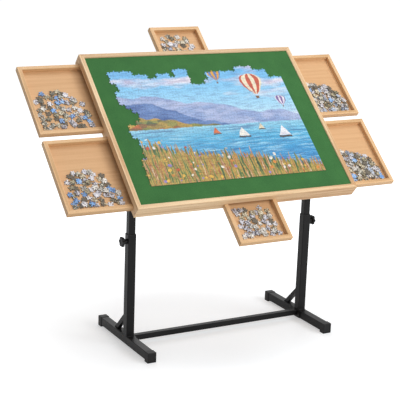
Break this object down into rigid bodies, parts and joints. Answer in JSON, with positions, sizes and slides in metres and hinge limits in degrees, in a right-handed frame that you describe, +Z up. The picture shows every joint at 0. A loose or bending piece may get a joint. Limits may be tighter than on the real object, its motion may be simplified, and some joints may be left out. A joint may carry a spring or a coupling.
{
  "type": "jigsaw puzzle table",
  "caption": "Tilting jigsaw table: wooden tray board with felt top and sliding sorting drawers on all sides, on a height-adjustable black steel stand.",
  "frame": {"origin": "on the floor, under the middle of the table's outline as it stands with its drawers drawn", "axes": "+X along the board to the user's right, +Y away from the user, +Z up"},
  "size_m": [1.29, 0.7385, 1.0615],
  "materials": {
    "black_steel": "black powder coat, satin",
    "black_plastic": "moulded, matt",
    "zinc_steel": "zinc plated",
    "black_screws": "black oxide",
    "rail_wood": "clear lacquered hardwood, satin",
    "drawer_wood": "clear lacquered hardwood, satin",
    "hidden_wood": "bare softwood",
    "plywood": "bare plywood",
    "drawer_plywood": "thin plywood, sanded and lacquered",
    "green_felt": "needled felt, glued down",
    "puzzle_print": "printed and coated greyboard"
  },
  "bodies": {
    "stand": {"foot_tube_left": "black_steel", "foot_tube_right": "black_steel", "foot_caps": "black_plastic", "outer_column_left": "black_steel", "outer_column_right": "black_steel", "column_bushes": "black_plastic", "braces": "black_steel", "crossbar": "black_steel", "crossbar_plates": "black_steel", "crossbar_screws": "black_screws", "knob_bosses": "black_steel"},
    "mast": {"inner_column_left": "black_steel", "inner_column_right": "black_steel", "column_plugs": "black_plastic", "column_caps": "black_plastic", "pivot_bolts": "zinc_steel", "pivot_nuts": "zinc_steel", "lock_nuts": "zinc_steel", "spacer_washers": "zinc_steel"},
    "board": {"tilt_bracket_left": "black_steel", "tilt_bracket_right": "black_steel", "bracket_screws": "zinc_steel", "cleats": "hidden_wood", "rail_near": "rail_wood", "rail_far": "rail_wood", "rail_left": "rail_wood", "rail_right": "rail_wood", "top_panel": "plywood", "felt": "green_felt", "bottom_panel": "plywood", "dividers": "hidden_wood", "middle_guides": "hidden_wood", "edge_guides": "hidden_wood", "stop_block": "hidden_wood", "puzzle": "puzzle_print"},
    "left_far_drawer": {"left_far_drawer_walls": "drawer_wood", "left_far_drawer_floor": "drawer_plywood"},
    "left_near_drawer": {"left_near_drawer_walls": "drawer_wood", "left_near_drawer_floor": "drawer_plywood"},
    "right_far_drawer": {"right_far_drawer_walls": "drawer_wood", "right_far_drawer_floor": "drawer_plywood"},
    "right_near_drawer": {"right_near_drawer_walls": "drawer_wood", "right_near_drawer_floor": "drawer_plywood"},
    "near_drawer": {"near_drawer_walls": "drawer_wood", "near_drawer_floor": "drawer_plywood"},
    "far_drawer": {"far_drawer_walls": "drawer_wood", "far_drawer_floor": "drawer_plywood"},
    "height_clamp_left": {"height_knob_left": "black_plastic", "height_stud_left": "zinc_steel"},
    "height_clamp_right": {"height_knob_right": "black_plastic", "height_stud_right": "zinc_steel"},
    "lock_clamp_left": {"lock_knob_left": "black_plastic", "lock_stud_left": "zinc_steel"},
    "lock_clamp_right": {"lock_knob_right": "black_plastic", "lock_stud_right": "zinc_steel"}
  },
  "joints": [
    {"name": "height_slide", "type": "slide", "parent": "stand", "child": "mast", "axis": [0, 0, 1], "range_m": [-0.12, 0.09]},
    {"name": "board_tilt", "type": "hinge", "parent": "mast", "child": "board", "pos_m": [0.02, -0.05593, 0.616], "axis": [1, 0, 0], "range_deg": [-41, 14]},
    {"name": "left_far_drawer_slide", "type": "slide", "parent": "board", "child": "left_far_drawer", "axis": [-1, 0, 0], "range_m": [-0.226, 0.055]},
    {"name": "left_near_drawer_slide", "type": "slide", "parent": "board", "child": "left_near_drawer", "axis": [-1, 0, 0], "range_m": [-0.226, 0.055]},
    {"name": "right_far_drawer_slide", "type": "slide", "parent": "board", "child": "right_far_drawer", "axis": [1, 0, 0], "range_m": [-0.186, 0.095]},
    {"name": "right_near_drawer_slide", "type": "slide", "parent": "board", "child": "right_near_drawer", "axis": [1, 0, 0], "range_m": [-0.186, 0.095]},
    {"name": "near_drawer_slide", "type": "slide", "parent": "board", "child": "near_drawer", "axis": [0, -0.7547, -0.6561], "range_m": [-0.156, 0.108]},
    {"name": "far_drawer_slide", "type": "slide", "parent": "board", "child": "far_drawer", "axis": [0, 0.7547, 0.6561], "range_m": [-0.134, 0.13]},
    {"name": "height_clamp_left_turn", "type": "hinge", "parent": "stand", "child": "height_clamp_left", "pos_m": [-0.339, -0.05593, 0.381], "axis": [-1, 0, 0], "range_deg": [0, 720]},
    {"name": "height_clamp_right_turn", "type": "hinge", "parent": "stand", "child": "height_clamp_right", "pos_m": [0.379, -0.05593, 0.381], "axis": [1, 0, 0], "range_deg": [0, 720]},
    {"name": "lock_clamp_left_turn", "type": "hinge", "parent": "mast", "child": "lock_clamp_left", "pos_m": [-0.339, -0.05593, 0.561], "axis": [-1, 0, 0], "range_deg": [0, 720]},
    {"name": "lock_clamp_right_turn", "type": "hinge", "parent": "mast", "child": "lock_clamp_right", "pos_m": [0.379, -0.05593, 0.561], "axis": [1, 0, 0], "range_deg": [0, 720]}
  ]
}
